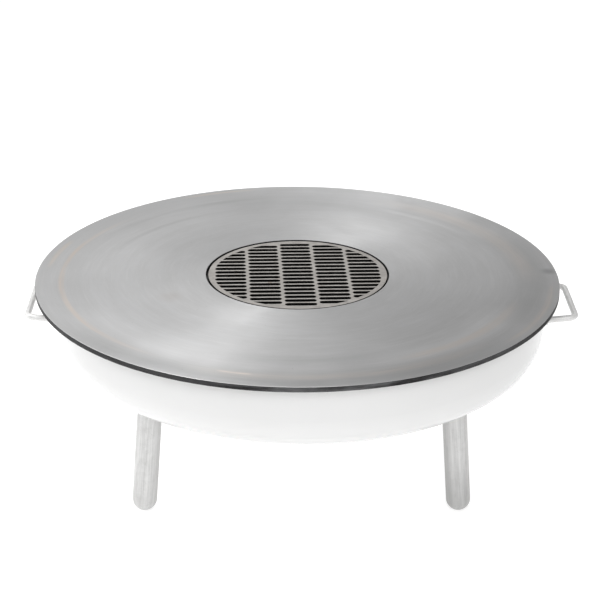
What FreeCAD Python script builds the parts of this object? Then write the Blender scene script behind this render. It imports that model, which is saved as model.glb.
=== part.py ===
import FreeCAD, Part
import math
import os

import Sketcher

# Fire pit with a loose hot plate and a grill grate.
#
# Frame: millimetres, +Z up. The origin is on the ground, on the axis of the
# bowl. +X runs through the right handle, -Y is the front. Three legs stand at
# -150, -30 and +90 degrees about Z.
#
# Three bodies: the bowl with its legs and handles (stands on the ground), the
# hot plate that lies loose on the bowl's rim, and the grate that lies loose in
# the plate's seat.

os.makedirs("parts", exist_ok=True)
doc = FreeCAD.newDocument("fire_pit")
V = FreeCAD.Vector

# ---------------------------------------------------------------- dimensions
sheet = doc.addObject("Spreadsheet::Sheet", "dims")
DIMS = [
    # hot plate
    ("plate_dia", 1000.0, "outer diameter of the hot plate"),
    ("plate_thick", 10.0, "hot plate thickness"),
    ("plate_bore", 351.5, "opening in the plate for the grate"),
    ("plate_top", 417.0, "height of the cooking surface"),
    ("plate_offset", -8.6, "plate centre from bowl axis along X, inside its play"),
    ("plate_edge", 0.5, "chamfer round the plate's edges"),
    # grate and its seat
    ("grate_dia", 344.4, "grate outer diameter"),
    ("grate_thick", 9.0, "grate thickness"),
    ("grate_turn", 1.75, "how far the loose grate is turned in its seat, degrees"),
    ("grate_shift_x", 0.6, "where the loose grate lies in its seat, along X"),
    ("grate_shift_y", 0.4, "where the loose grate lies in its seat, along Y"),
    ("grate_edge", 0.6, "chamfer round the grate"),
    ("slot_wide", 12.2, "slot width"),
    ("slot_long", 59.6, "slot length over its rounded ends"),
    ("row_pitch", 17.66, "distance between slot rows"),
    ("column_pitch", 64.4, "distance between slot columns"),
    ("slot_field_dia", 323.5, "circle that trims the outer slots"),
    ("seat_outer", 382.0, "seat ring outer diameter"),
    ("seat_inner", 327.0, "seat ring inner diameter"),
    ("seat_thick", 5.0, "seat ring thickness"),
    # locating lugs under the plate
    ("lug_wide", 32.0, "lug width"),
    ("lug_thick", 5.0, "lug thickness"),
    ("lug_drop", 24.0, "lug length below the plate"),
    ("lug_reach", 457.0, "lug outer face from the plate's centre"),
    # bowl shell
    ("rim_rad", 470.0, "bowl outer radius at the rim"),
    ("shell_thick", 3.0, "bowl wall thickness"),
    ("wall_lean", 3.2, "inward lean of the side wall, degrees"),
    ("wall_run", 74.0, "length of the straight side wall"),
    ("knuckle_rad", 75.0, "outer radius of the turn into the floor"),
    ("crown_rad", 905.0, "outer spherical radius of the floor"),
    ("drain_rad", 12.5, "drain hole radius"),
    ("rim_round", 1.3, "rounding of the rim edge"),
    # legs
    ("foot_circle", 349.0, "leg axis at the ground, from the bowl axis"),
    ("leg_splay", 5.0, "outward splay of a leg, degrees"),
    ("leg_dia", 46.4, "leg tube outer diameter"),
    ("leg_wall", 2.6, "leg tube wall"),
    ("dome_height", 21.6, "centre of the foot dome above the ground"),
    ("cap_wall", 4.0, "foot cap wall"),
    ("plug_depth", 17.0, "depth of the threaded plug in the leg's top"),
    ("gasket_thick", 1.5, "fibre gasket between leg and bowl"),
    ("gasket_rad", 20.5, "gasket radius"),
    ("bolt_rad", 6.0, "leg bolt shank radius"),
    ("bolt_hole_rad", 6.6, "leg bolt clearance hole radius"),
    ("bolt_reach", 20.0, "leg bolt length below the bowl's outer face"),
    ("bolt_flats", 19.0, "leg bolt head across flats"),
    ("bolt_head", 7.5, "leg bolt head height"),
    ("washer_rad", 15.0, "leg washer radius"),
    ("washer_thick", 2.5, "leg washer thickness"),
    # handles
    ("bar_rad", 5.9, "handle bar radius"),
    ("bar_half", 77.5, "handle arm axis from the middle of the handle"),
    ("bar_reach", 60.0, "handle grip axis from the bowl wall along the arm"),
    ("bar_bend", 13.0, "bend radius of the handle corners"),
    ("bar_rise", 5.8, "upward tilt of the handle, degrees"),
    ("bar_level", 352.5, "height where the arms meet the bowl wall"),
    ("shoulder_gap", 1.6, "bar shoulder from the bowl wall"),
    ("stud_rad", 5.0, "threaded end radius"),
    ("stud_long", 24.0, "threaded end length"),
    ("stud_hole_rad", 5.5, "hole in the bowl wall for the threaded end"),
    ("collar_rad", 9.5, "outer collar radius"),
    ("collar_long", 6.0, "outer collar length from the wall"),
    ("saddle_rad", 11.0, "inner saddle washer radius"),
    ("saddle_long", 6.5, "inner saddle washer depth from the wall"),
    ("nut_flats", 17.0, "handle nut across flats"),
    ("nut_thick", 8.0, "handle nut thickness"),
]
for row, (alias, value, note) in enumerate(DIMS, start=1):
    sheet.set("A%d" % row, alias)
    sheet.set("B%d" % row, "%g" % value)
    sheet.set("C%d" % row, note)
    sheet.setAlias("B%d" % row, alias)
doc.recompute()


def dim(alias):
    return float(getattr(sheet, alias))


NODES = []


def node(obj, name):
    obj.Label = name
    NODES.append(obj)
    return obj


# ------------------------------------------------------------------- helpers
def new_body(name):
    return doc.addObject("PartDesign::Body", name)


def origin_part(body, role):
    for feature in body.Origin.OriginFeatures:
        if feature.Role == role:
            return feature
    raise RuntimeError("no origin feature " + role)


def new_sketch(body, name, role="XY_Plane", offset=None):
    sketch = body.newObject("Sketcher::SketchObject", name)
    sketch.AttachmentSupport = [(origin_part(body, role), "")]
    sketch.MapMode = "FlatFace"
    if offset is not None:
        sketch.AttachmentOffset = offset
    return sketch


def bind(obj, prop, expression):
    obj.setExpression(prop, expression)


def circle(sketch, name, radius_expression, radius, x=0.0, y=0.0):
    """A circle whose centre and radius are constrained."""
    g = sketch.addGeometry(Part.Circle(V(x, y, 0), V(0, 0, 1), radius), False)
    if abs(x) < 1e-9 and abs(y) < 1e-9:
        sketch.addConstraint(Sketcher.Constraint("Coincident", g, 3, -1, 1))
    c = sketch.addConstraint(Sketcher.Constraint("Radius", g, radius))
    sketch.renameConstraint(c, name)
    bind(sketch, "Constraints." + name, radius_expression)
    return g


def plain(name, shape, placement=None):
    obj = doc.addObject("Part::Feature", name)
    obj.Shape = shape
    if placement is not None:
        obj.Placement = placement
    return obj


def turn_z(shape, degrees):
    out = shape.copy()
    out.rotate(V(0, 0, 0), V(0, 0, 1), degrees)
    return out


def hex_prism(flats, height, base, direction):
    """A hexagonal prism with its corners eased, from base along direction."""
    rad = flats / math.sqrt(3.0)
    pts = [V(rad * math.cos(math.radians(60 * k)), rad * math.sin(math.radians(60 * k)), 0) for k in range(7)]
    prism = Part.Face(Part.makePolygon(pts)).extrude(V(0, 0, height))
    top = rad - 0.9
    ease = Part.makeCylinder(rad + 0.01, height - 0.9).fuse(
        Part.makeCone(rad + 0.01, top, 0.9, V(0, 0, height - 0.9), V(0, 0, 1))
    )
    body = prism.common(ease)
    body.Placement = FreeCAD.Placement(base, FreeCAD.Rotation(V(0, 0, 1), direction))
    return body.Solids[0]


# ------------------------------------------------------ bowl section geometry
lean = math.radians(dim("wall_lean"))
rim_z = dim("plate_top") - dim("plate_thick")
rim_r = dim("rim_rad")
wall = dim("shell_thick")
kr = dim("knuckle_rad")
cr = dim("crown_rad")
# end of the straight wall, centre of the knuckle, centre of the crown
wall_end = (rim_r - dim("wall_run") * math.sin(lean), rim_z - dim("wall_run") * math.cos(lean))
knuckle = (wall_end[0] - kr * math.cos(lean), wall_end[1] + kr * math.sin(lean))
turn = math.asin(knuckle[0] / (cr - kr))
crown_z = knuckle[1] + (cr - kr) * math.cos(turn)
bowl_bottom = crown_z - cr


def on_arc(centre, radius, angle):
    return (centre[0] + radius * math.cos(angle), centre[1] + radius * math.sin(angle))


def section(t):
    """Points of the bowl's section at depth t inside its outer face."""
    a_join = turn - math.pi / 2
    a_wall = -lean
    top = (rim_r - t / math.cos(lean), rim_z)
    k = on_arc(knuckle, kr - t, a_wall)
    j = on_arc((0.0, crown_z), cr - t, a_join)
    d = dim("drain_rad")
    c_ang = -math.acos(d / (cr - t))
    c = (d, crown_z + (cr - t) * math.sin(c_ang))
    return top, k, j, c, a_join, a_wall, c_ang


def envelope(t, name):
    """The solid bounded by the bowl's section at depth t, closed to the axis."""
    top, k, j, c, a_join, a_wall, c_ang = section(t)
    up = V(math.sin(lean), 0, math.cos(lean)) * 40.0
    p_top = V(top[0], 0, top[1])
    high = p_top + up
    edges = [
        Part.LineSegment(high, V(k[0], 0, k[1])).toShape(),
        Part.Arc(
            V(k[0], 0, k[1]),
            V(*(lambda p: (p[0], 0, p[1]))(on_arc(knuckle, kr - t, (a_join + a_wall) / 2))),
            V(j[0], 0, j[1]),
        ).toShape(),
        Part.Arc(
            V(j[0], 0, j[1]),
            V(*(lambda p: (p[0], 0, p[1]))(on_arc((0.0, crown_z), cr - t, (a_join - math.pi / 2) / 2))),
            V(0, 0, crown_z - (cr - t)),
        ).toShape(),
        Part.LineSegment(V(0, 0, crown_z - (cr - t)), V(0, 0, high.z)).toShape(),
        Part.LineSegment(V(0, 0, high.z), high).toShape(),
    ]
    face = Part.Face(Part.Wire(edges))
    solid = face.revolve(V(0, 0, 0), V(0, 0, 1), 360)
    return solid


# ----------------------------------------------------------------- bowl shell
bowl = node(new_body("bowl"), "bowl")
sk = new_sketch(bowl, "bowl_section", "XZ_Plane")
o_top, o_k, o_j, o_c, a_join, a_wall, oc_ang = section(0.0)
i_top, i_k, i_j, i_c, _, _, ic_ang = section(wall)


def line(a, b):
    return sk.addGeometry(Part.LineSegment(V(a[0], a[1], 0), V(b[0], b[1], 0)), False)


def arc(centre, radius, start, end):
    g = Part.ArcOfCircle(Part.Circle(V(centre[0], centre[1], 0), V(0, 0, 1), radius), start, end)
    return sk.addGeometry(g, False)


g0 = line(o_top, o_k)
g1 = arc(knuckle, kr, a_join, a_wall)
g2 = arc((0.0, crown_z), cr, oc_ang, a_join)
g3 = line(o_c, i_c)
g4 = arc((0.0, crown_z), cr - wall, ic_ang, a_join)
g5 = arc(knuckle, kr - wall, a_join, a_wall)
g6 = line(i_k, i_top)
g7 = line(i_top, o_top)
C = Sketcher.Constraint
sk.addConstraint(
    [
        C("Tangent", g0, 2, g1, 2),
        C("Tangent", g1, 1, g2, 2),
        C("Coincident", g2, 1, g3, 1),
        C("Coincident", g3, 2, g4, 1),
        C("Tangent", g4, 2, g5, 1),
        C("Tangent", g5, 2, g6, 1),
        C("Coincident", g6, 2, g7, 1),
        C("Coincident", g7, 2, g0, 1),
        C("Coincident", g2, 3, g4, 3),
        C("Coincident", g1, 3, g5, 3),
        C("Parallel", g0, g6),
        C("Vertical", g3),
        C("Horizontal", g7),
        C("PointOnObject", g2, 3, -2),
    ]
)
for name, constraint, expression in (
    ("rim", C("DistanceX", -1, 1, g0, 1, rim_r), "dims.rim_rad"),
    ("level", C("DistanceY", -1, 1, g0, 1, rim_z), "dims.plate_top - dims.plate_thick"),
    ("wall_x", C("DistanceX", -1, 1, g0, 2, o_k[0]), "dims.rim_rad - dims.wall_run * sin(dims.wall_lean * 1deg)"),
    (
        "wall_y",
        C("DistanceY", -1, 1, g0, 2, o_k[1]),
        "dims.plate_top - dims.plate_thick - dims.wall_run * cos(dims.wall_lean * 1deg)",
    ),
    ("knuckle", C("Radius", g1, kr), "dims.knuckle_rad"),
    ("crown", C("Radius", g2, cr), "dims.crown_rad"),
    ("crown_in", C("Radius", g4, cr - wall), "dims.crown_rad - dims.shell_thick"),
    ("drain", C("DistanceX", -1, 1, g3, 1, dim("drain_rad")), "dims.drain_rad"),
):
    index = sk.addConstraint(constraint)
    sk.renameConstraint(index, name)
    bind(sk, "Constraints." + name, expression)

shell = bowl.newObject("PartDesign::Revolution", "bowl_shell")
shell.Profile = sk
shell.ReferenceAxis = (sk, ["V_Axis"])
shell.Angle = 360.0
doc.recompute()

rim_edges = []
for i, e in enumerate(shell.Shape.Edges, start=1):
    box = e.BoundBox
    if box.ZMin > rim_z - 0.01 and box.XLength > 900:
        rim_edges.append("Edge%d" % i)
if rim_edges:
    rounding = bowl.newObject("PartDesign::Fillet", "bowl_rim_round")
    rounding.Base = (shell, rim_edges)
    rounding.Radius = dim("rim_round")
    bind(rounding, "Radius", "dims.rim_round")
    doc.recompute()

# leg bolt holes, square to the spherical floor where each leg axis meets it
splay = math.radians(dim("leg_splay"))
foot_r = dim("foot_circle")
gasket_sphere = cr + dim("gasket_thick")


def leg_point(sphere_radius):
    """Where the leg's axis (in the plane y = 0) meets a sphere about the crown centre."""
    dx, dz = -math.sin(splay), math.cos(splay)
    ox, oz = foot_r, -crown_z
    b = ox * dx + oz * dz
    c = ox * ox + oz * oz - sphere_radius * sphere_radius
    run = -b - math.sqrt(b * b - c)
    return V(foot_r + dx * run, 0, dz * run)


seat_point = leg_point(cr)
out_normal = (seat_point - V(0, 0, crown_z)).normalize()
first_leg = -30.0
hole_turn = FreeCAD.Rotation(V(0, 0, 1), first_leg)
bolt_sketch = new_sketch(
    bowl,
    "leg_bolt_hole",
    "XY_Plane",
    FreeCAD.Placement(
        hole_turn.multVec(seat_point + out_normal * 10.0),
        hole_turn.multiply(FreeCAD.Rotation(V(0, 0, 1), out_normal)),
    ),
)
circle(bolt_sketch, "hole", "dims.bolt_hole_rad", dim("bolt_hole_rad"))
before = bowl.Shape.Volume
leg_holes = bowl.newObject("PartDesign::Pocket", "leg_bolt_holes")
leg_holes.Profile = bolt_sketch
leg_holes.Length = 20.0
leg_holes.Reversed = False
doc.recompute()
if abs(bowl.Shape.Volume - before) < 1.0:
    leg_holes.Reversed = True
    doc.recompute()
ring = bowl.newObject("PartDesign::PolarPattern", "leg_bolt_ring")
ring.Originals = [leg_holes]
ring.Axis = (origin_part(bowl, "Z_Axis"), [""])
ring.Angle = 360.0
ring.Occurrences = 3
bowl.Tip = ring
doc.recompute()
print("bowl: leg holes remove %.0f mm3" % (before - bowl.Shape.Volume))

# handle holes: two pairs across the bowl, parallel to X
before = bowl.Shape.Volume
stud_sketch = new_sketch(bowl, "handle_holes_section", "YZ_Plane")
for k, side in enumerate((-1, 1)):
    g = stud_sketch.addGeometry(
        Part.Circle(V(side * dim("bar_half"), dim("bar_level"), 0), V(0, 0, 1), dim("stud_hole_rad")), False
    )
    for name, constraint, expression in (
        ("ring%d" % k, C("Radius", g, dim("stud_hole_rad")), "dims.stud_hole_rad"),
        ("level%d" % k, C("DistanceY", -1, 1, g, 3, dim("bar_level")), "dims.bar_level"),
        (
            "half%d" % k,
            C("DistanceX", g, 3, -1, 1, dim("bar_half")) if side < 0 else C("DistanceX", -1, 1, g, 3, dim("bar_half")),
            "dims.bar_half",
        ),
    ):
        index = stud_sketch.addConstraint(constraint)
        stud_sketch.renameConstraint(index, name)
        bind(stud_sketch, "Constraints." + name, expression)
stud_holes = bowl.newObject("PartDesign::Pocket", "handle_holes")
stud_holes.Profile = stud_sketch
stud_holes.Midplane = True
stud_holes.Length = 1200.0
doc.recompute()
print("bowl: handle holes remove %.0f mm3" % (before - bowl.Shape.Volume))

# ----------------------------------------------------------------------- legs
outer_env = envelope(0.0, "outer")
inner_env = envelope(wall, "inner")
axis_dir = V(-math.sin(splay), 0, math.cos(splay))
dome_c = V(foot_r, 0, 0) + axis_dir * (dim("dome_height") / math.cos(splay))
top_c = leg_point(gasket_sphere)
leg_run = (top_c - dome_c).Length
leg_rot = FreeCAD.Rotation(V(0, 0, 1), axis_dir)
LEGS = (("front_right", -30.0), ("rear", 90.0), ("front_left", 210.0))

mitre = doc.addObject("Part::Sphere", "mitre_sphere")
bind(mitre, "Radius", "dims.crown_rad + dims.gasket_thick")
mitre.Placement = FreeCAD.Placement(V(0, 0, crown_z), FreeCAD.Rotation())


def spin(placement, degrees):
    return FreeCAD.Placement(V(0, 0, 0), FreeCAD.Rotation(V(0, 0, 1), degrees)).multiply(placement)


for where, degrees in LEGS:
    place = spin(FreeCAD.Placement(dome_c, leg_rot), degrees)
    outer = doc.addObject("Part::Cylinder", "leg_outer_" + where)
    bind(outer, "Radius", "dims.leg_dia / 2")
    outer.Height = leg_run + 30.0
    outer.Placement = place
    inner = doc.addObject("Part::Cylinder", "leg_inner_" + where)
    bind(inner, "Radius", "dims.leg_dia / 2 - dims.leg_wall")
    inner.Height = leg_run + 30.0
    inner.Placement = place
    tube = doc.addObject("Part::Cut", "leg_tube_" + where)
    tube.Base = outer
    tube.Tool = inner
    leg = doc.addObject("Part::Cut", "leg_" + where)
    leg.Base = tube
    leg.Tool = mitre
    node(leg, "leg_" + where)
doc.recompute()

# foot caps: half-domes welded to the tube's lower end, with a small flat to
# stand on
cap_r = dim("leg_dia") / 2
dome = Part.makeSphere(cap_r, dome_c).cut(Part.makeSphere(cap_r - dim("cap_wall"), dome_c))
below = Part.makeCylinder(cap_r * 2, cap_r * 2, dome_c, axis_dir * -1)
above_ground = Part.makeBox(1200, 1200, 400, V(-600, -600, 0))
cap = dome.common(below).common(above_ground).Solids[0]
for where, degrees in LEGS:
    node(plain("foot_cap_" + where, turn_z(cap, degrees)), "foot_cap_" + where)

# threaded plugs: thick discs welded in the legs' tops, shaped to the bowl
out_normal_top = out_normal
plug_r = dim("leg_dia") / 2 - dim("leg_wall")
plug = Part.makeCylinder(plug_r, dim("plug_depth") + 30.0, top_c - axis_dir * dim("plug_depth"), axis_dir)
plug = plug.cut(Part.makeSphere(gasket_sphere, V(0, 0, crown_z)))
thread_hole = Part.makeCylinder(
    dim("bolt_rad") + 0.05, 80.0, seat_point + out_normal * -20.0, out_normal
)
plug = plug.cut(thread_hole).Solids[0]
for where, degrees in LEGS:
    node(plain("leg_plug_" + where, turn_z(plug, degrees)), "leg_plug_" + where)

# gaskets: thin spherical discs between leg and bowl
gap = Part.makeSphere(gasket_sphere, V(0, 0, crown_z)).cut(Part.makeSphere(cr, V(0, 0, crown_z)))
gasket = Part.makeCylinder(dim("gasket_rad"), 30.0, seat_point - out_normal * 15.0, out_normal).common(gap)
gasket = gasket.cut(
    Part.makeCylinder(dim("bolt_hole_rad"), 40.0, seat_point - out_normal * 20.0, out_normal)
).Solids[0]
node(
    plain("leg_gaskets", Part.makeCompound([turn_z(gasket, d) for _, d in LEGS])),
    "leg_gaskets",
)

# washers inside the bowl under the bolt heads, dished to the floor
face_sphere = cr - wall
w_t = dim("washer_thick")
w_gap = Part.makeSphere(face_sphere, V(0, 0, crown_z)).cut(Part.makeSphere(face_sphere - w_t, V(0, 0, crown_z)))
washer = Part.makeCylinder(dim("washer_rad"), 30.0, seat_point - out_normal * 18.0, out_normal).common(w_gap)
washer = washer.cut(
    Part.makeCylinder(dim("bolt_hole_rad"), 60.0, seat_point - out_normal * 30.0, out_normal)
).Solids[0]
node(
    plain("leg_washers", Part.makeCompound([turn_z(washer, d) for _, d in LEGS])),
    "leg_washers",
)

# bolts: hexagon head inside the bowl, shank through washer, bowl, gasket and plug
# the flat head rests by its corners on the washer's slightly hollow face
head_sag = (face_sphere - w_t) - math.sqrt((face_sphere - w_t) ** 2 - (dim("bolt_flats") / math.sqrt(3.0)) ** 2)
head_base = seat_point - out_normal * (wall + w_t + head_sag + 0.001)
head = hex_prism(dim("bolt_flats"), dim("bolt_head"), head_base, out_normal * -1)
shank = Part.makeCylinder(
    dim("bolt_rad"), wall + w_t + dim("bolt_reach"), head_base, out_normal
)
bolt = head.fuse(shank).removeSplitter().Solids[0]
node(
    plain("leg_bolts", Part.makeCompound([turn_z(bolt, d) for _, d in LEGS])),
    "leg_bolts",
)

# -------------------------------------------------------------------- handles
wall_r = rim_r - (rim_z - dim("bar_level")) * math.tan(lean)
wall_x = math.sqrt(wall_r * wall_r - dim("bar_half") ** 2)
rise = dim("bar_rise")
handle_place = FreeCAD.Placement(V(wall_x, 0, dim("bar_level")), FreeCAD.Rotation(V(0, 1, 0), -rise))
SIDES = (("right", 0.0), ("left", 180.0))


def handle_body(name, degrees):
    body = new_body(name)
    half, reach, bend, start = dim("bar_half"), dim("bar_reach"), dim("bar_bend"), dim("shoulder_gap")
    path = new_sketch(body, name + "_path", "XY_Plane")
    pts = [
        (start, -half),
        (reach - bend, -half),
        (reach, -half + bend),
        (reach, half - bend),
        (reach - bend, half),
        (start, half),
    ]
    seg = []
    seg.append(path.addGeometry(Part.LineSegment(V(*pts[0], 0), V(*pts[1], 0)), False))
    seg.append(
        path.addGeometry(
            Part.ArcOfCircle(Part.Circle(V(reach - bend, -half + bend, 0), V(0, 0, 1), bend), -math.pi / 2, 0.0), False
        )
    )
    seg.append(path.addGeometry(Part.LineSegment(V(*pts[2], 0), V(*pts[3], 0)), False))
    seg.append(
        path.addGeometry(
            Part.ArcOfCircle(Part.Circle(V(reach - bend, half - bend, 0), V(0, 0, 1), bend), 0.0, math.pi / 2), False
        )
    )
    seg.append(path.addGeometry(Part.LineSegment(V(*pts[4], 0), V(*pts[5], 0)), False))
    path.addConstraint(
        [
            C("Tangent", seg[0], 2, seg[1], 1),
            C("Tangent", seg[1], 2, seg[2], 1),
            C("Tangent", seg[2], 2, seg[3], 1),
            C("Tangent", seg[3], 2, seg[4], 1),
            C("Horizontal", seg[0]),
            C("Vertical", seg[2]),
            C("Horizontal", seg[4]),
            C("Equal", seg[1], seg[3]),
        ]
    )
    for cname, constraint, expression in (
        ("start_low", C("DistanceX", -1, 1, seg[0], 1, start), "dims.shoulder_gap"),
        ("start_high", C("DistanceX", -1, 1, seg[4], 2, start), "dims.shoulder_gap"),
        ("half_low", C("DistanceY", seg[0], 1, -1, 1, half), "dims.bar_half"),
        ("half_high", C("DistanceY", -1, 1, seg[4], 2, half), "dims.bar_half"),
        ("reach", C("DistanceX", -1, 1, seg[2], 1, reach), "dims.bar_reach"),
        ("bend", C("Radius", seg[1], bend), "dims.bar_bend"),
    ):
        index = path.addConstraint(constraint)
        path.renameConstraint(index, cname)
        bind(path, "Constraints." + cname, expression)
    prof = new_sketch(
        body, name + "_section", "YZ_Plane", FreeCAD.Placement(V(0, 0, start), FreeCAD.Rotation())
    )
    g = prof.addGeometry(Part.Circle(V(-half, 0, 0), V(0, 0, 1), dim("bar_rad")), False)
    prof.addConstraint(C("PointOnObject", g, 3, -1))
    for cname, constraint, expression in (
        ("half", C("DistanceX", g, 3, -1, 1, half), "dims.bar_half"),
        ("stock", C("Radius", g, dim("bar_rad")), "dims.bar_rad"),
    ):
        index = prof.addConstraint(constraint)
        prof.renameConstraint(index, cname)
        bind(prof, "Constraints." + cname, expression)
    doc.recompute()
    pipe = body.newObject("PartDesign::AdditivePipe", name + "_bar")
    pipe.Profile = prof
    pipe.Spine = (path, [])
    doc.recompute()
    studs = new_sketch(
        body, name + "_studs_section", "YZ_Plane", FreeCAD.Placement(V(0, 0, start), FreeCAD.Rotation())
    )
    for k, side in enumerate((-1, 1)):
        g = studs.addGeometry(Part.Circle(V(side * half, 0, 0), V(0, 0, 1), dim("stud_rad")), False)
        studs.addConstraint(C("PointOnObject", g, 3, -1))
        for cname, constraint, expression in (
            (
                "half%d" % k,
                C("DistanceX", g, 3, -1, 1, half) if side < 0 else C("DistanceX", -1, 1, g, 3, half),
                "dims.bar_half",
            ),
            ("ring%d" % k, C("Radius", g, dim("stud_rad")), "dims.stud_rad"),
        ):
            index = studs.addConstraint(constraint)
            studs.renameConstraint(index, cname)
            bind(studs, "Constraints." + cname, expression)
    pad = body.newObject("PartDesign::Pad", name + "_studs")
    pad.Profile = studs
    pad.Reversed = True
    pad.Length = dim("stud_long")
    bind(pad, "Length", "dims.stud_long")
    doc.recompute()
    ends = []
    for i, e in enumerate(pad.Shape.Edges, start=1):
        b = e.BoundBox
        if abs(b.XMin - (start - dim("stud_long"))) < 0.01 and b.XLength < 0.01 and b.YLength > 5:
            ends.append("Edge%d" % i)
    if ends:
        ease = body.newObject("PartDesign::Chamfer", name + "_stud_ends")
        ease.Base = (pad, ends)
        ease.Size = 0.9
        doc.recompute()
    body.Placement = spin(handle_place, degrees)
    return body


for side, degrees in SIDES:
    node(handle_body("handle_" + side, degrees), "handle_" + side)
doc.recompute()

# collars, saddle washers and nuts on the four threaded ends
arm_dir = FreeCAD.Rotation(V(0, 1, 0), -rise).multVec(V(1, 0, 0))
collars, saddles, nuts = [], [], []
for side, degrees in SIDES:
    for sign in (-1, 1):
        root = V(wall_x, sign * dim("bar_half"), dim("bar_level"))
        collar = Part.makeCylinder(dim("collar_rad"), 30.0, root + arm_dir * (dim("collar_long") - 30.0), arm_dir)
        collar = collar.cut(outer_env)
        collar = collar.cut(Part.makeCylinder(dim("bar_rad") + 0.05, 60.0, root - arm_dir * 30.0, arm_dir))
        collars.append(turn_z(max(collar.Solids, key=lambda s: s.Volume), degrees))
        inner_face = -dim("saddle_long")
        saddle = Part.makeCylinder(dim("saddle_rad"), 30.0, root + arm_dir * inner_face, arm_dir)
        saddle = saddle.common(inner_env)
        saddle = saddle.cut(Part.makeCylinder(dim("stud_rad") + 0.4, 60.0, root - arm_dir * 30.0, arm_dir))
        saddles.append(turn_z(max(saddle.Solids, key=lambda s: s.Volume), degrees))
        nut = hex_prism(dim("nut_flats"), dim("nut_thick"), root + arm_dir * inner_face, arm_dir * -1)
        nut = nut.cut(Part.makeCylinder(dim("stud_rad") + 0.03, 60.0, root - arm_dir * 30.0, arm_dir))
        nuts.append(turn_z(nut.Solids[0], degrees))
node(plain("handle_collars", Part.makeCompound(collars)), "handle_collars")
node(plain("handle_saddle_washers", Part.makeCompound(saddles)), "handle_saddle_washers")
node(plain("handle_nuts", Part.makeCompound(nuts)), "handle_nuts")

# ------------------------------------------------------------------ hot plate
plate_x = dim("plate_offset")
plate = node(new_body("fire_plate"), "fire_plate")
sk = new_sketch(plate, "plate_outline")
circle(sk, "outer", "dims.plate_dia / 2", dim("plate_dia") / 2)
circle(sk, "opening", "dims.plate_bore / 2", dim("plate_bore") / 2)
disc = plate.newObject("PartDesign::Pad", "plate_disc")
disc.Profile = sk
disc.Length = dim("plate_thick")
bind(disc, "Length", "dims.plate_thick")
doc.recompute()
edges = ["Edge%d" % i for i, e in enumerate(disc.Shape.Edges, start=1) if e.BoundBox.ZLength < 0.01]
rims = plate.newObject("PartDesign::Chamfer", "plate_edges")
rims.Base = (disc, edges)
rims.Size = dim("plate_edge")
bind(rims, "Size", "dims.plate_edge")
plate.Placement = FreeCAD.Placement(V(plate_x, 0, rim_z), FreeCAD.Rotation())
doc.recompute()

# seat ring welded under the opening; the grate rests on it
seat = node(new_body("grate_seat_ring"), "grate_seat_ring")
sk = new_sketch(seat, "seat_outline")
circle(sk, "outer", "dims.seat_outer / 2", dim("seat_outer") / 2)
circle(sk, "inner", "dims.seat_inner / 2", dim("seat_inner") / 2)
ring_pad = seat.newObject("PartDesign::Pad", "seat_disc")
ring_pad.Profile = sk
ring_pad.Length = dim("seat_thick")
bind(ring_pad, "Length", "dims.seat_thick")
seat.Placement = FreeCAD.Placement(V(plate_x, 0, rim_z - dim("seat_thick")), FreeCAD.Rotation())

# locating lugs: short flat bars welded under the plate, hanging inside the rim
lugs = []
for k in range(4):
    lug = Part.makeBox(
        dim("lug_thick"),
        dim("lug_wide"),
        dim("lug_drop"),
        V(dim("lug_reach") - dim("lug_thick"), -dim("lug_wide") / 2, rim_z - dim("lug_drop")),
    )
    low = [e for e in lug.Edges if e.BoundBox.ZMax < rim_z - dim("lug_drop") + 0.01 and e.BoundBox.YLength > 10]
    side = [e for e in lug.Edges if e.BoundBox.ZMax < rim_z - dim("lug_drop") + 0.01 and e.BoundBox.XLength > 1]
    lug = lug.makeFillet(3.0, [e for e in lug.Edges if e.BoundBox.ZLength < 0.01 and e.BoundBox.XLength > 1
                               and e.BoundBox.ZMax < rim_z - 1])
    lug = turn_z(lug, 45.0 + 90.0 * k)
    lug.translate(V(plate_x, 0, 0))
    lugs.append(lug.Solids[0] if lug.Solids else lug)
node(plain("plate_lugs", Part.makeCompound(lugs)), "plate_lugs")

# ----------------------------------------------------------------- grill grate
grate = node(new_body("grill_grate"), "grill_grate")
sk = new_sketch(grate, "grate_outline")
circle(sk, "outer", "dims.grate_dia / 2", dim("grate_dia") / 2)
gpad = grate.newObject("PartDesign::Pad", "grate_disc")
gpad.Profile = sk
gpad.Length = dim("grate_thick")
bind(gpad, "Length", "dims.grate_thick")
doc.recompute()
edges = ["Edge%d" % i for i, e in enumerate(gpad.Shape.Edges, start=1) if e.BoundBox.ZLength < 0.01]
gcham = grate.newObject("PartDesign::Chamfer", "grate_edges")
gcham.Base = (gpad, edges)
gcham.Size = dim("grate_edge")
bind(gcham, "Size", "dims.grate_edge")
doc.recompute()

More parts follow.
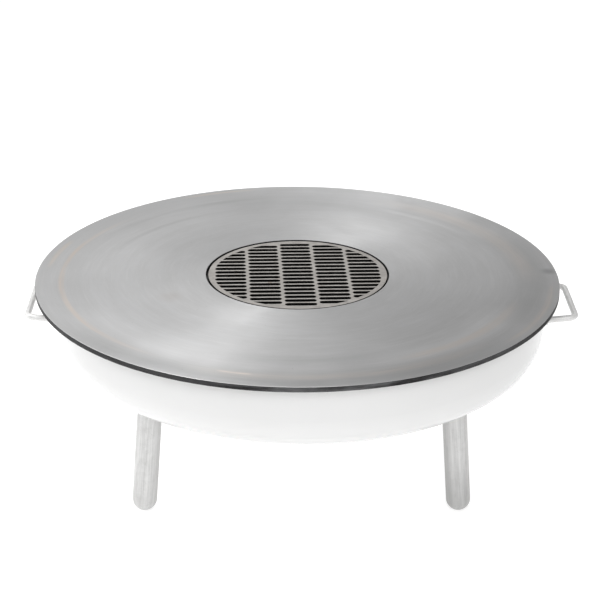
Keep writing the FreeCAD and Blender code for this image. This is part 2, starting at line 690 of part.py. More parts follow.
# slot outlines: five columns, alternate columns staggered by half a row, the
# outer slots trimmed by the slot field's circle
half_l, half_w = dim("slot_long") / 2, dim("slot_wide") / 2
field = Part.Face(Part.Wire(Part.Circle(V(0, 0, 0), V(0, 0, 1), dim("slot_field_dia") / 2).toShape()))
slot_faces = []
counts = []
for column in range(-2, 3):
    cx = column * dim("column_pitch")
    rows = [n + 0.5 for n in range(-9, 9)] if column % 2 == 0 else list(range(-8, 9))
    if abs(column) == 2:
        rows = [n + 0.5 for n in range(-7, 7)]
    for n in rows:
        cy = n * dim("row_pitch")
        a, b = cx - half_l + half_w, cx + half_l - half_w
        outline = Part.Wire(
            [
                Part.LineSegment(V(a, cy - half_w, 0), V(b, cy - half_w, 0)).toShape(),
                Part.Arc(V(b, cy - half_w, 0), V(b + half_w, cy, 0), V(b, cy + half_w, 0)).toShape(),
                Part.LineSegment(V(b, cy + half_w, 0), V(a, cy + half_w, 0)).toShape(),
                Part.Arc(V(a, cy + half_w, 0), V(a - half_w, cy, 0), V(a, cy - half_w, 0)).toShape(),
            ]
        )
        face = Part.Face(outline)
        if math.hypot(abs(cx) + half_l, abs(cy) + half_w) > dim("slot_field_dia") / 2 - 0.5:
            face = face.common(field).Faces[0]
        slot_faces.append(face)
    counts.append(len(rows))
slot_sketch = new_sketch(grate, "grate_slots_outline")
outline_parts = []
for face in slot_faces:
    for e in face.OuterWire.OrderedEdges:
        first, last = e.FirstParameter, e.LastParameter
        p0, pm, p1 = e.valueAt(first), e.valueAt((first + last) / 2), e.valueAt(last)
        if isinstance(e.Curve, Part.Line):
            outline_parts.append(Part.LineSegment(p0, p1))
        elif (pm - p0).cross(p1 - pm).z > 0:
            outline_parts.append(Part.Arc(p0, pm, p1))
        else:
            outline_parts.append(Part.Arc(p1, pm, p0))
slot_sketch.addGeometry(outline_parts, False)
before = grate.Shape.Volume
slots = grate.newObject("PartDesign::Pocket", "grate_slots")
slots.Profile = slot_sketch
slots.Length = dim("grate_thick") + 2.0
slots.Midplane = True
slots.Length = 2 * dim("grate_thick") + 2.0
doc.recompute()
want = sum(f.Area for f in slot_faces) * dim("grate_thick")
print("grate: columns %s, slots remove %.0f mm3 of %.0f" % (counts, before - grate.Shape.Volume, want))
grate.Placement = FreeCAD.Placement(
    V(plate_x + dim("grate_shift_x"), dim("grate_shift_y"), rim_z),
    FreeCAD.Rotation(V(0, 0, 1), dim("grate_turn")),
)

# ---------------------------------------------------------------------- checks
doc.recompute()
bad = []
for obj in doc.Objects:
    state = list(getattr(obj, "State", []))
    if "Invalid" in state or "Error" in state:
        bad.append("%s: %s" % (obj.Name, state))
for obj in NODES:
    shape = obj.Shape
    if shape.isNull() or not shape.isValid() or not shape.Solids:
        bad.append("%s: null, invalid or no solid" % obj.Label)
if bad:
    raise RuntimeError("; ".join(bad))

for obj in NODES:
    obj.Shape.exportStep("parts/%s.step" % obj.Label)
    b = obj.Shape.BoundBox
    print(
        "%-24s solids %d  volume %9.0f  x %.1f..%.1f  y %.1f..%.1f  z %.1f..%.1f"
        % (obj.Label, len(obj.Shape.Solids), obj.Shape.Volume, b.XMin, b.XMax, b.YMin, b.YMax, b.ZMin, b.ZMax)
    )
print("bowl bottom %.2f, leg meets bowl at r %.1f z %.1f" % (bowl_bottom, seat_point.x, seat_point.z))
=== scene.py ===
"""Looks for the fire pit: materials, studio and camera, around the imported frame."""

import math

import bmesh
import bpy
from mathutils import Matrix, Vector


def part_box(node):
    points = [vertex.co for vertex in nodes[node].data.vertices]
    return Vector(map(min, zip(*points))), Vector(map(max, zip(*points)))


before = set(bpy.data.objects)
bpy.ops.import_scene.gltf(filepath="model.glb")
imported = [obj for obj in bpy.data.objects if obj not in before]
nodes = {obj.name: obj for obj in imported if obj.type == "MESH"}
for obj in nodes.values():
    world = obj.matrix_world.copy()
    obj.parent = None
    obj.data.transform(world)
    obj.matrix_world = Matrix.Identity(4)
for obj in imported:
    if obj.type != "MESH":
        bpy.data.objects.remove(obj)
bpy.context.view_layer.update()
scene = bpy.context.scene

# ------------------------------------------------------------ places from the frame
lo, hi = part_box("fire_plate")
PLATE_C = Vector(((lo.x + hi.x) / 2, (lo.y + hi.y) / 2, hi.z))
PLATE_R = (hi.y - lo.y) / 2
PLATE_T = hi.z - lo.z
lo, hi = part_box("grill_grate")
GRATE_C = Vector(((lo.x + hi.x) / 2, (lo.y + hi.y) / 2, hi.z))
GRATE_R = (hi.y - lo.y) / 2
RIM_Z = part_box("bowl")[1].z


# ------------------------------------------------------------------ node helpers
class Mat:
    """A small builder for one procedural material."""

    def __init__(self, name):
        self.m = bpy.data.materials.new(name)
        self.m.use_nodes = True
        self.t = self.m.node_tree
        self.t.nodes.clear()
        self.out = self.t.nodes.new("ShaderNodeOutputMaterial")
        self.b = self.t.nodes.new("ShaderNodeBsdfPrincipled")
        self.t.links.new(self.b.outputs[0], self.out.inputs["Surface"])
        self._tc = None
        self._geo = None

    def put(self, socket, value):
        if isinstance(value, bpy.types.NodeSocket):
            self.t.links.new(value, socket)
        elif value is not None:
            if isinstance(value, (tuple, list)) and len(value) == 3 and socket.type == "RGBA":
                value = (*value, 1.0)
            socket.default_value = value

    def set(self, **kw):
        for k, v in kw.items():
            self.put(self.b.inputs[k.replace("_", " ")], v)
        return self

    def obj(self):
        if self._tc is None:
            self._tc = self.t.nodes.new("ShaderNodeTexCoord")
        return self._tc.outputs["Object"]

    def true_normal(self):
        if self._geo is None:
            self._geo = self.t.nodes.new("ShaderNodeNewGeometry")
        return self._geo.outputs["True Normal"]

    def math(self, op, a, b=None, c=None, clamp=False):
        n = self.t.nodes.new("ShaderNodeMath")
        n.operation = op
        n.use_clamp = clamp
        for i, v in enumerate((a, b, c)):
            if v is not None:
                self.put(n.inputs[i], v)
        return n.outputs[0]

    def vec(self, op, a, b=None, scale=None):
        n = self.t.nodes.new("ShaderNodeVectorMath")
        n.operation = op
        self.put(n.inputs[0], a)
        if b is not None:
            self.put(n.inputs[1], b)
        if scale is not None:
            self.put(n.inputs["Scale"], scale)
        return n.outputs["Value"] if op in ("LENGTH", "DOT_PRODUCT", "DISTANCE") else n.outputs["Vector"]

    def split(self, v):
        n = self.t.nodes.new("ShaderNodeSeparateXYZ")
        self.put(n.inputs[0], v)
        return n.outputs[0], n.outputs[1], n.outputs[2]

    def join(self, x, y, z):
        n = self.t.nodes.new("ShaderNodeCombineXYZ")
        for i, v in enumerate((x, y, z)):
            self.put(n.inputs[i], v)
        return n.outputs[0]

    def mapped(self, v, rotation=(0, 0, 0), scale=(1, 1, 1), location=(0, 0, 0)):
        n = self.t.nodes.new("ShaderNodeMapping")
        n.vector_type = "POINT"
        self.put(n.inputs["Vector"], v)
        n.inputs["Location"].default_value = location
        n.inputs["Rotation"].default_value = rotation
        n.inputs["Scale"].default_value = scale
        return n.outputs[0]

    def noise(self, v, scale, detail=4.0, rough=0.55, distortion=0.0):
        n = self.t.nodes.new("ShaderNodeTexNoise")
        n.noise_dimensions = "3D"
        self.put(n.inputs["Vector"], v)
        n.inputs["Scale"].default_value = scale
        n.inputs["Detail"].default_value = detail
        n.inputs["Roughness"].default_value = rough
        n.inputs["Distortion"].default_value = distortion
        return n.outputs["Fac"]

    def voronoi(self, v, scale, feature="F1", out="Color", randomness=1.0):
        n = self.t.nodes.new("ShaderNodeTexVoronoi")
        n.feature = feature
        self.put(n.inputs["Vector"], v)
        n.inputs["Scale"].default_value = scale
        n.inputs["Randomness"].default_value = randomness
        return n.outputs[out]

    def span(self, v, a, b, c=0.0, d=1.0, smooth=False):
        """v taken from a..b to c..d, clamped."""
        n = self.t.nodes.new("ShaderNodeMapRange")
        n.interpolation_type = "SMOOTHSTEP" if smooth else "LINEAR"
        n.clamp = True
        self.put(n.inputs["Value"], v)
        n.inputs["From Min"].default_value = a
        n.inputs["From Max"].default_value = b
        n.inputs["To Min"].default_value = c
        n.inputs["To Max"].default_value = d
        return n.outputs["Result"]

    def bell(self, v, centre, half):
        """1 at centre, falling to 0 at centre +- half."""
        d = self.math("ABSOLUTE", self.math("SUBTRACT", v, centre))
        return self.span(d, 0.0, half, 1.0, 0.0, smooth=True)

    def mixc(self, f, a, b, mode="MIX"):
        n = self.t.nodes.new("ShaderNodeMix")
        n.data_type = "RGBA"
        n.blend_type = mode
        n.clamp_factor = True
        self.put(n.inputs[0], f)
        self.put(n.inputs[6], a)
        self.put(n.inputs[7], b)
        return n.outputs[2]

    def mixf(self, f, a, b):
        n = self.t.nodes.new("ShaderNodeMix")
        n.data_type = "FLOAT"
        self.put(n.inputs[0], f)
        self.put(n.inputs[2], a)
        self.put(n.inputs[3], b)
        return n.outputs[0]

    def bump(self, height, strength, distance, normal=None):
        n = self.t.nodes.new("ShaderNodeBump")
        n.inputs["Strength"].default_value = strength
        n.inputs["Distance"].default_value = distance
        self.put(n.inputs["Height"], height)
        if normal is not None:
            self.put(n.inputs["Normal"], normal)
        return n.outputs[0]

    def radial_tangent(self):
        n = self.t.nodes.new("ShaderNodeTangent")
        n.direction_type = "RADIAL"
        n.axis = "Z"
        return n.outputs[0]


def polar(m, centre):
    """Radius from the vertical axis through centre, the unit direction's parts, and z from centre."""
    p = m.vec("SUBTRACT", m.obj(), tuple(centre))
    x, y, z = m.split(p)
    flat = m.join(x, y, 0.0)
    r = m.vec("LENGTH", flat)
    u = m.vec("NORMALIZE", flat)
    ux, uy, _ = m.split(u)
    return r, ux, uy, z, x, y


def give(material, *names):
    for n in names:
        o = nodes[n] if isinstance(n, str) else n
        o.data.materials.clear()
        o.data.materials.append(material)


# ---------------------------------------------------------------- hot plate steel
def arc_patch(m, r, ux, uy, radius, half_width, angle, half_angle):
    """A soft patch that follows the circle: 1 at its middle, 0 past its ends and sides; angles in degrees."""
    c, s_ = math.cos(math.radians(angle)), math.sin(math.radians(angle))
    along = m.math("ADD", m.math("MULTIPLY", ux, c), m.math("MULTIPLY", uy, s_))
    ends = m.span(along, math.cos(math.radians(half_angle)), math.cos(math.radians(half_angle * 0.35)), 0.0, 1.0, smooth=True)
    return m.math("MULTIPLY", m.bell(r, radius, half_width), ends)


def plate_material():
    m = Mat("plate_steel_ground")
    r, ux, uy, z, x, y = polar(m, PLATE_C)
    nz = m.split(m.true_normal())[2]

    def ring_noise(across, along, detail, rough, shift=0.0):
        v = m.join(m.math("MULTIPLY_ADD", r, across, shift), m.math("MULTIPLY", ux, along), m.math("MULTIPLY", uy, along))
        return m.noise(v, 1.0, detail, rough)

    # grinding lines that follow the circle, in short overlapping strokes
    fine = ring_noise(2600.0, 16.0, 3.0, 0.7)
    mid = ring_noise(430.0, 7.0, 4.0, 0.65, 3.0)
    stroke = ring_noise(130.0, 4.2, 4.0, 0.6, 7.0)
    broad = ring_noise(42.0, 1.9, 4.0, 0.55, 11.0)
    cloud = m.noise(m.obj(), 5.5, 5.0, 0.6, 0.4)
    haze = m.noise(m.mapped(m.obj(), location=(1.3, 4.1, 0.0)), 10.0, 5.0, 0.65, 0.7)
    blot = m.noise(m.mapped(m.obj(), location=(3.1, 1.7, 0.0)), 16.0, 5.0, 0.65, 0.8)
    # bare ground steel
    grey = m.mixc(m.span(cloud, 0.3, 0.7), (0.452, 0.452, 0.453), (0.506, 0.508, 0.513))
    grey = m.mixc(m.span(haze, 0.35, 0.68, 0.0, 0.55), grey, (0.545, 0.545, 0.548))
    grey = m.mixc(m.span(broad, 0.36, 0.70, 0.0, 0.36), grey, (0.420, 0.418, 0.414))
    grey = m.mixc(m.span(stroke, 0.5, 0.75, 0.0, 0.30), grey, (0.585, 0.584, 0.583))
    grey = m.mixc(m.span(mid, 0.4, 0.72, 0.0, 0.22), grey, (0.40, 0.397, 0.393))
    grey = m.mixc(m.span(fine, 0.35, 0.75, 0.0, 0.22), grey, (0.587, 0.587, 0.589))
    # painted light and shade in patches along the circle: lighter patches for the brushed steel's highlight, most at
    # the lower left and upper right of the grate, darker patches for its shade, most at the front and right of the
    # rim
    tone = 1.0
    for k, at in (
        (-0.22, (0.475, 0.055, -92.0, 60.0)),
        (-0.09, (0.400, 0.035, -72.0, 44.0)),
        (-0.14, (0.450, 0.065, -2.0, 34.0)),
        (-0.09, (0.400, 0.110, 82.0, 44.0)),
        (0.11, (0.420, 0.075, -134.0, 26.0)),
        (0.17, (0.412, 0.055, -49.0, 28.0)),
        (0.11, (0.360, 0.140, 146.0, 44.0)),
        (0.09, (0.270, 0.090, 38.0, 34.0)),
        (0.07, (0.240, 0.070, -138.0, 36.0)),
        (0.10, (0.397, 0.014, 47.0, 18.0)),
        (-0.08, (0.425, 0.012, 128.0, 34.0)),
        (-0.10, (0.372, 0.010, 140.0, 26.0)),
    ):
        tone = m.math("MULTIPLY_ADD", arc_patch(m, r, ux, uy, *at), k, tone)
    grey = m.mixc(1.0, grey, tone, "MULTIPLY")
    # pale tan heat bloom in broken arcs
    broken = ring_noise(210.0, 5.0, 4.0, 0.6, 5.0)
    tint = None
    for k, at in (
        (0.85, (0.451, 0.0085, 188.0, 52.0)),
        (0.55, (0.425, 0.016, -43.0, 26.0)),
        (0.50, (0.484, 0.010, -24.0, 20.0)),
        (0.75, (0.481, 0.009, 168.0, 10.0)),
        (0.70, (0.485, 0.007, 110.0, 11.0)),
        (0.75, (0.458, 0.006, -104.0, 5.0)),
        (0.35, (0.440, 0.030, 30.0, 40.0)),
        (0.30, (0.462, 0.018, -80.0, 40.0)),
    ):
        p = m.math("MULTIPLY", arc_patch(m, r, ux, uy, *at), k)
        tint = p if tint is None else m.math("MAXIMUM", tint, p)
    tint = m.math("MULTIPLY", tint, m.span(broken, 0.3, 0.6, 0.3, 1.0), clamp=True)
    top = m.mixc(tint, grey, (0.625, 0.556, 0.50))
    # a dull smudge by the right edge, a faint brown stain and small dark specks
    flat = m.join(x, y, 0.0)
    smudge = m.vec("DISTANCE", flat, (0.485, 0.010, 0.0))
    smudge = m.math("MULTIPLY", m.span(smudge, 0.002, 0.022, 1.0, 0.0, smooth=True), m.span(blot, 0.3, 0.6, 0.6, 1.0))
    top = m.mixc(m.math("MULTIPLY", smudge, 0.5), top, (0.20, 0.20, 0.205))
    stain = m.vec("DISTANCE", flat, (-0.237, -0.119, 0.0))
    stain = m.math("MULTIPLY", m.span(stain, 0.0, 0.034, 1.0, 0.0, smooth=True), m.span(haze, 0.35, 0.6, 0.3, 1.0))
    top = m.mixc(m.math("MULTIPLY", stain, 0.3), top, (0.36, 0.31, 0.28))
    speck = m.voronoi(m.obj(), 95.0, "F1", "Distance")
    gate = m.noise(m.obj(), 22.0, 2.0, 0.5)
    specks = m.math("MULTIPLY", m.span(speck, 0.05, 0.09, 1.0, 0.0), m.span(gate, 0.58, 0.64))
    top = m.mixc(m.math("MULTIPLY", specks, 0.5), top, (0.12, 0.10, 0.085))
    # underside: mill scale, blued in places round the fire
    under_n = m.noise(m.obj(), 26.0, 6.0, 0.65, 0.6)
    under = m.mixc(m.span(under_n, 0.35, 0.65), (0.060, 0.064, 0.072), (0.115, 0.110, 0.106))
    under = m.mixc(m.span(m.noise(m.obj(), 7.0, 3.0, 0.6), 0.55, 0.75, 0.0, 0.6), under, (0.16, 0.085, 0.05))
    # cut edge: nearly black scale, rubbed to grey in patches, with fine upright drag lines
    a = m.math("ARCTAN2", y, x)
    drag = m.noise(m.join(m.math("MULTIPLY", a, 520.0), m.math("MULTIPLY", z, 90.0), 0.0), 1.0, 3.0, 0.6)
    rubbed = m.noise(m.join(m.math("MULTIPLY", ux, 5.0), m.math("MULTIPLY", uy, 5.0), m.math("MULTIPLY", z, 60.0)), 1.0, 4.0, 0.65)
    edge = m.mixc(m.span(drag, 0.3, 0.7), (0.010, 0.010, 0.011), (0.024, 0.0235, 0.023))
    front = m.span(m.math("ADD", m.math("MULTIPLY", ux, 0.26), m.math("MULTIPLY", uy, -0.966)), 0.80, 0.97, 0.35, 1.0, smooth=True)
    edge = m.mixc(m.math("MULTIPLY", m.span(rubbed, 0.36, 0.6), front), edge, (0.105, 0.105, 0.108))
    # painted shade: the cut face of the bore round the grate is near-black, as the gap's shade
    edge = m.mixc(m.span(r, 0.25, 0.2, 0.0, 1.0), edge, (0.008, 0.008, 0.0085))
    # chamfers: bare steel
    is_top = m.span(nz, 0.9, 0.95)
    is_under = m.span(nz, -0.9, -0.95)
    is_cham = m.math("SUBTRACT", m.span(nz, 0.45, 0.5), is_top, clamp=True)
    col = m.mixc(is_top, edge, top)
    col = m.mixc(is_under, col, under)
    col = m.mixc(is_cham, col, (0.56, 0.56, 0.56))
    # painted shade: the bore's chamfer is near-black, less so on the left where the light catches it
    bore_cham_painted_shade = m.math("MULTIPLY", is_cham, m.span(r, 0.25, 0.2, 0.0, 1.0))
    bore_cham_painted_shade = m.math("MULTIPLY", bore_cham_painted_shade, m.span(ux, -0.95, -0.7, 0.25, 1.0))
    col = m.mixc(bore_cham_painted_shade, col, (0.010, 0.010, 0.0105))
    rough_top = m.math("ADD", m.span(haze, 0.25, 0.75, 0.40, 0.48), m.span(fine, 0.3, 0.7, -0.02, 0.03))
    rough_top = m.math("ADD", rough_top, m.math("MULTIPLY", tint, 0.06))
    rough = m.mixf(is_top, 0.7, rough_top)
    rough = m.mixf(is_cham, rough, 0.42)
    metal = m.mixf(m.math("MAXIMUM", is_top, is_cham), 0.0, 1.0)
    metal = m.mixf(is_under, metal, 0.4)
    h = m.math("ADD", m.math("MULTIPLY", fine, 0.6), m.math("MULTIPLY", mid, 0.3))
    h = m.mixf(is_top, m.math("MULTIPLY", drag, 2.5), h)
    m.set(
        Base_Color=col,
        Roughness=rough,
        Metallic=metal,
        Specular_IOR_Level=0.2,
        Normal=m.bump(h, 0.35, 0.00006),
        Anisotropic=0.72,
        Anisotropic_Rotation=0.25,
        Tangent=m.radial_tangent(),
    )
    return m.m


# --------------------------------------------------------------------- grate steel
def grate_material():
    m = Mat("grate_steel_cut")
    nz = m.split(m.true_normal())[2]
    r, ux, uy, z, x, y = polar(m, GRATE_C)
    grain = m.noise(m.mapped(m.obj(), scale=(30.0, 260.0, 260.0)), 1.0, 4.0, 0.6)
    mott = m.noise(m.obj(), 42.0, 5.0, 0.65, 0.5)
    col = m.mixc(m.span(mott, 0.32, 0.68), (0.43, 0.408, 0.386), (0.315, 0.299, 0.282))
    col = m.mixc(m.span(grain, 0.35, 0.7, 0.0, 0.5), col, (0.52, 0.503, 0.481))
    rust = m.noise(m.mapped(m.obj(), location=(0.7, 0.2, 0.0)), 60.0, 4.0, 0.7)
    col = m.mixc(m.span(rust, 0.6, 0.72, 0.0, 0.5), col, (0.23, 0.14, 0.085))
    # painted shade: the walls and underside are near-black, so the slots read dark though the scene's light reaches
    # their walls
    side_n = m.noise(m.mapped(m.obj(), scale=(400.0, 400.0, 40.0)), 1.0, 3.0, 0.6)
    side = m.mixc(m.span(side_n, 0.3, 0.7), (0.003, 0.003, 0.003), (0.008, 0.0078, 0.0075))
    is_top = m.span(nz, 0.9, 0.95)
    is_cham = m.math("SUBTRACT", m.span(nz, 0.45, 0.5), is_top, clamp=True)
    c = m.mixc(is_top, side, col)
    c = m.mixc(is_cham, c, (0.055, 0.053, 0.05))
    # painted shade in the gap round the grate: the outer chamfer is near-black, less so on the left where the light
    # catches it
    rim_cham_painted_shade = m.math("MULTIPLY", is_cham, m.span(r, 0.168, 0.170, 0.0, 1.0))
    rim_cham_painted_shade = m.math("MULTIPLY", rim_cham_painted_shade, m.span(ux, -0.95, -0.7, 0.2, 1.0))
    c = m.mixc(rim_cham_painted_shade, c, (0.010, 0.010, 0.0105))
    m.set(
        Base_Color=c,
        Roughness=m.mixf(is_top, 0.75, m.span(mott, 0.3, 0.7, 0.42, 0.56)),
        Metallic=m.mixf(m.math("MAXIMUM", is_top, is_cham), 0.0, 0.85),
        Specular_IOR_Level=0.03,
        Normal=m.bump(m.math("ADD", grain, m.math("MULTIPLY", mott, 0.8)), 0.4, 0.00008),
    )
    return m.m


# -------------------------------------------------------------------- white enamel
def enamel_material():
    m = Mat("white_enamel_glaze")
    p = m.obj()
    x, y, z = m.split(p)
    inside = m.vec("DOT_PRODUCT", m.true_normal(), m.vec("SUBTRACT", (0.0, 0.0, 0.42), p))
    is_in = m.span(inside, -0.002, 0.002)
    peel = m.noise(p, 160.0, 2.0, 0.5)
    wave = m.noise(p, 14.0, 2.0, 0.5)
    tone = m.noise(p, 4.0, 3.0, 0.5)
    white = m.mixc(m.span(tone, 0.3, 0.7), (0.752, 0.752, 0.748), (0.778, 0.778, 0.776))
    pin = m.voronoi(p, 120.0, "F1", "Distance")
    pin_gate = m.noise(p, 30.0, 2.0, 0.5)
    pins = m.math("MULTIPLY", m.span(pin, 0.03, 0.05, 1.0, 0.0), m.span(pin_gate, 0.66, 0.70))
    white = m.mixc(m.math("MULTIPLY", pins, 0.35), white, (0.42, 0.41, 0.40))
    # the glaze is thin and a little grey where the shell turns over at the rim
    white = m.mixc(m.span(z, RIM_Z - 0.0022, RIM_Z - 0.0004, 0.0, 0.75), white, (0.30, 0.30, 0.31))
    # dark ground coat inside, dusted with ash towards the floor
    ash = m.noise(p, 34.0, 6.0, 0.7, 0.7)
    dark = m.mixc(m.span(ash, 0.35, 0.65), (0.016, 0.016, 0.017), (0.034, 0.033, 0.033))
    dust = m.math("MULTIPLY", m.span(ash, 0.5, 0.75), m.span(z, 0.30, 0.18, 0.0, 0.5))
    dark = m.mixc(dust, dark, (0.14, 0.135, 0.13))
    col = m.mixc(is_in, white, dark)
    rough = m.mixf(is_in, m.span(wave, 0.3, 0.7, 0.13, 0.18), m.span(ash, 0.3, 0.7, 0.32, 0.6))
    m.set(
        Base_Color=col,
        Roughness=rough,
        Metallic=0.0,
        IOR=1.5,
        Normal=m.bump(m.math("ADD", m.math("MULTIPLY", peel, 0.25), wave), 0.12, 0.0006),
    )
    return m.m


# ---------------------------------------------------------------- galvanised steel
def galvanised(name, azimuth, splay, inner_shade_and_ground_dark):
    """Zinc on a tube whose axis leans by splay in the vertical plane at azimuth."""
    m = Mat(name)
    # turn the tube's own axis onto Z, so that the streaks follow it
    p = m.mapped(m.obj(), rotation=(0.0, 0.0, -azimuth))
    p = m.mapped(p, rotation=(0.0, splay, 0.0))
    streak = m.noise(m.mapped(p, scale=(420.0, 420.0, 14.0)), 1.0, 5.0, 0.65, 0.2)
    drip = m.noise(m.mapped(p, scale=(90.0, 90.0, 7.0)), 1.0, 4.0, 0.6, 0.5)
    spangle = m.voronoi(m.mapped(p, scale=(130.0, 130.0, 80.0)), 1.0, "F1", "Color", 1.0)
    sp = m.split(spangle)[0]
    mott = m.noise(p, 75.0, 6.0, 0.7, 0.6)
    pits = m.voronoi(p, 480.0, "F1", "Distance")
    pit_gate = m.noise(p, 110.0, 3.0, 0.6)
    pit = m.math("MULTIPLY", m.span(pits, 0.12, 0.3, 1.0, 0.0), m.span(pit_gate, 0.52, 0.62))
    c = m.mixc(m.span(mott, 0.32, 0.68), (0.615, 0.612, 0.605), (0.735, 0.732, 0.725))
    c = m.mixc(m.span(streak, 0.34, 0.66, 0.0, 0.55), c, (0.475, 0.472, 0.466))
    c = m.mixc(m.span(drip, 0.5, 0.72, 0.0, 0.6), c, (0.83, 0.827, 0.82))
    c = m.mixc(m.math("MULTIPLY", sp, 0.14), c, (0.79, 0.79, 0.79))
    c = m.mixc(m.math("MULTIPLY", pit, 0.5), c, (0.33, 0.33, 0.33))
    # painted shade: darker on the side that faces the fire bowl's axis; the tube is also darker towards the ground
    inward = m.vec("DOT_PRODUCT", m.true_normal(), (-math.cos(azimuth), -math.sin(azimuth), 0.0))
    painted_inner_shade = m.math("MULTIPLY", m.span(inward, -0.25, 0.95, 0.0, 1.0), m.span(mott, 0.2, 0.6, 0.85, 1.0))
    c = m.mixc(m.math("MULTIPLY", painted_inner_shade, 0.5 + inner_shade_and_ground_dark), c, (0.29, 0.288, 0.283))
    foot = m.span(m.split(m.obj())[2], 0.17, 0.0, 0.0, 1.0, smooth=True)
    c = m.mixc(m.math("MULTIPLY", foot, 0.05 + 1.6 * inner_shade_and_ground_dark), c, (0.33, 0.328, 0.322))
    h = m.math("ADD", m.math("MULTIPLY", streak, 0.7), m.math("MULTIPLY", drip, 1.0))
    h = m.math("SUBTRACT", m.math("ADD", h, m.math("MULTIPLY", mott, 0.5)), m.math("MULTIPLY", pit, 0.8))
    m.set(
        Base_Color=c,
        Roughness=m.span(streak, 0.3, 0.7, 0.42, 0.62),
        Metallic=0.55,
        Normal=m.bump(h, 0.5, 0.00022),
    )
    return m.m


# ------------------------------------------------------------------ smaller finishes
def handle_material():
    m = Mat("handle_steel_satin")
    p = m.obj()
    a = m.noise(m.mapped(p, scale=(500.0, 60.0, 500.0)), 1.0, 4.0, 0.6)
    b = m.noise(p, 55.0, 5.0, 0.65, 0.4)
    c = m.mixc(m.span(b, 0.3, 0.7), (0.74, 0.737, 0.73), (0.86, 0.857, 0.85))
    c = m.mixc(m.span(a, 0.35, 0.7, 0.0, 0.4), c, (0.44, 0.438, 0.432))
    m.set(
        Base_Color=c,
        Roughness=m.span(b, 0.3, 0.7, 0.40, 0.52),
        Metallic=0.5,
        Normal=m.bump(m.math("ADD", a, b), 0.35, 0.0001),
    )
    return m.m


def raw_material():
    m = Mat("raw_steel_scale")
    p = m.obj()
    a = m.noise(p, 30.0, 6.0, 0.65, 0.6)
    b = m.noise(p, 210.0, 3.0, 0.6)
    c = m.mixc(m.span(a, 0.35, 0.65), (0.075, 0.078, 0.085), (0.14, 0.135, 0.13))
    c = m.mixc(m.span(b, 0.55, 0.72, 0.0, 0.5), c, (0.20, 0.125, 0.08))
    m.set(
        Base_Color=c,
        Roughness=m.span(a, 0.3, 0.7, 0.5, 0.68),
        Metallic=0.55,
        Normal=m.bump(m.math("ADD", a, m.math("MULTIPLY", b, 0.4)), 0.5, 0.00015),
    )
    return m.m


def zinc_material():
    m = Mat("zinc_plated")
    p = m.obj()
    a = m.noise(p, 90.0, 5.0, 0.65, 0.5)
    b = m.noise(p, 620.0, 2.0, 0.5)
    c = m.mixc(m.span(a, 0.3, 0.7), (0.62, 0.63, 0.64), (0.74, 0.74, 0.73))
    c = m.mixc(m.span(b, 0.5, 0.75, 0.0, 0.3), c, (0.50, 0.49, 0.45))
    m.set(
        Base_Color=c,
        Roughness=m.span(a, 0.3, 0.7, 0.26, 0.4),
        Metallic=1.0,
        Normal=m.bump(m.math("ADD", a, b), 0.25, 0.00008),
    )
    return m.m


def fibre_material():
    m = Mat("gasket_fibre_grey")
    p = m.obj()
    a = m.noise(m.mapped(p, scale=(700.0, 240.0, 700.0)), 1.0, 4.0, 0.7)
    b = m.noise(p, 60.0, 4.0, 0.6)
    c = m.mixc(m.span(a, 0.3, 0.7), (0.09, 0.085, 0.075), (0.17, 0.16, 0.145))
    c = m.mixc(m.span(b, 0.4, 0.7, 0.0, 0.5), c, (0.12, 0.10, 0.085))
    m.set(Base_Color=c, Roughness=m.span(a, 0.3, 0.7, 0.8, 0.95), Metallic=0.0, Normal=m.bump(a, 0.6, 0.0002))
    return m.m


plate_m = plate_material()
grate_m = grate_material()
enamel_m = enamel_material()
handle_m = handle_material()
raw_m = raw_material()
zinc_m = zinc_material()
fibre_m = fibre_material()

give(plate_m, "fire_plate")
give(grate_m, "grill_grate")
give(enamel_m, "bowl")
give(handle_m, "handle_right", "handle_left", "handle_collars")
give(raw_m, "grate_seat_ring", "plate_lugs", "leg_plug_front_right", "leg_plug_rear", "leg_plug_front_left")
give(zinc_m, "leg_washers", "leg_bolts", "handle_saddle_washers", "handle_nuts")
give(fibre_m, "leg_gaskets")
SPLAY = math.radians(5.0)
# the third number sets how strong each leg's painted shade on the inward side and its darkening towards the ground
# are
for where, az, inner_shade_and_ground_dark in (("front_right", -30.0, 0.28), ("rear", 90.0, 0.15), ("front_left", 210.0, 0.0)):
    g = galvanised("galvanised_" + where, math.radians(az), SPLAY, inner_shade_and_ground_dark)
    give(g, "leg_" + where, "foot_cap_" + where)

# ----------------------------------------------------------------- studio and camera
def area(name, where, target, size, size_y, power, colour=(1.0, 1.0, 1.0)):
    d = bpy.data.lights.new(name, "AREA")
    d.shape = "RECTANGLE"
    d.size = size
    d.size_y = size_y
    d.energy = power
    d.color = colour
    o = bpy.data.objects.new(name, d)
    scene.collection.objects.link(o)
    o.location = where
    o.rotation_euler = (Vector(target) - Vector(where)).to_track_quat("-Z", "Y").to_euler()
    o.visible_camera = False
    return o


world = bpy.data.worlds.new("studio")
scene.world = world
world.use_nodes = True
wt = world.node_tree
bg = wt.nodes["Background"]
bg.inputs["Color"].default_value = (1.0, 1.0, 1.0, 1.0)
wc = wt.nodes.new("ShaderNodeTexCoord")
ws = wt.nodes.new("ShaderNodeSeparateXYZ")
wt.links.new(wc.outputs["Generated"], ws.inputs[0])


def world_lobe(socket, strength):
    """Light from the half of the room on the socket's positive side, strongest along it."""
    n = wt.nodes.new("ShaderNodeMapRange")
    wt.links.new(socket, n.inputs["Value"])
    for k, v in (("From Min", 0.0), ("From Max", 1.0), ("To Min", 0.0), ("To Max", strength)):
        n.inputs[k].default_value = v
    return n.outputs["Result"]


# a pale room: light mostly from above, some from its right
add = wt.nodes.new("ShaderNodeMath")
add.operation = "ADD"
wt.links.new(world_lobe(ws.outputs[0], 0.20), add.inputs[0])
wt.links.new(world_lobe(ws.outputs[2], 0.75), add.inputs[1])
wt.links.new(add.outputs[0], bg.inputs["Strength"])

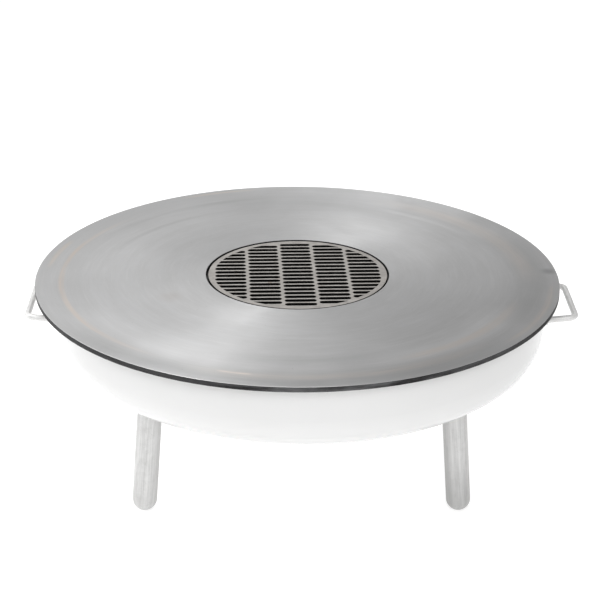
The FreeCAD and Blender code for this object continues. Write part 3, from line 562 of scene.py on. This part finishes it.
bm = bmesh.new()
bmesh.ops.create_grid(bm, x_segments=8, y_segments=8, size=30.0)
me = bpy.data.meshes.new("floor")
bm.to_mesh(me)
bm.free()
floor = bpy.data.objects.new("floor", me)
scene.collection.objects.link(floor)
fm = bpy.data.materials.new("floor_white")
fm.use_nodes = True
fb = fm.node_tree.nodes["Principled BSDF"]
fb.inputs["Base Color"].default_value = (0.55, 0.55, 0.55, 1)
fb.inputs["Roughness"].default_value = 0.9
fb.inputs["Specular IOR Level"].default_value = 0.1
fb.inputs["Emission Color"].default_value = (1, 1, 1, 1)
fb.inputs["Emission Strength"].default_value = 0.635
me.materials.append(fm)

area("key_overhead_left", (-1.7, 0.1, 4.0), (0, 0, 0.4), 1.6, 1.6, 80.0)
area("front_fill", (0.0, -3.6, 2.6), (0, 0, 0.3), 2.4, 1.6, 54.0)
area("side_left", (-3.0, -0.3, 1.6), (0, 0, 0.4), 2.0, 1.6, 22.0)
area("rear_left", (-2.6, 1.8, 1.6), (0, 0, 0.4), 2.0, 1.6, 12.5)
area("rear_centre", (-0.6, 3.6, 2.2), (0, 0, 0.4), 2.4, 1.6, 12.8)
area("rear_right", (2.0, 3.2, 2.2), (0, 0, 0.4), 2.0, 1.6, 3.6)

AZ, EL, D = math.radians(-0.8), math.radians(22.234), 3.325
PITCH, YAW, ROLL = math.radians(23.128), math.radians(-0.097), math.radians(0.427)
a2 = AZ + YAW
C = PLATE_C + D * Vector((math.sin(AZ) * math.cos(EL), -math.cos(AZ) * math.cos(EL), math.sin(EL)))
back = Vector((math.sin(a2) * math.cos(PITCH), -math.cos(a2) * math.cos(PITCH), math.sin(PITCH)))
right = Vector((math.cos(a2), math.sin(a2), 0.0))
up = back.cross(right)
right_c = math.cos(ROLL) * right + math.sin(ROLL) * up
up_c = math.cos(ROLL) * up - math.sin(ROLL) * right
rot = Matrix((right_c, up_c, back)).transposed().to_4x4()
cam_data = bpy.data.cameras.new("camera")
cam_data.sensor_fit = "HORIZONTAL"
cam_data.sensor_width = 36.0
cam_data.lens = 36.0 * 1729.0 / 600.0
cam_data.clip_end = 200.0
cam = bpy.data.objects.new("camera", cam_data)
scene.collection.objects.link(cam)
cam.matrix_world = Matrix.Translation(C) @ rot
scene.camera = cam

scene.view_settings.view_transform = "Standard"
scene.view_settings.look = "None"
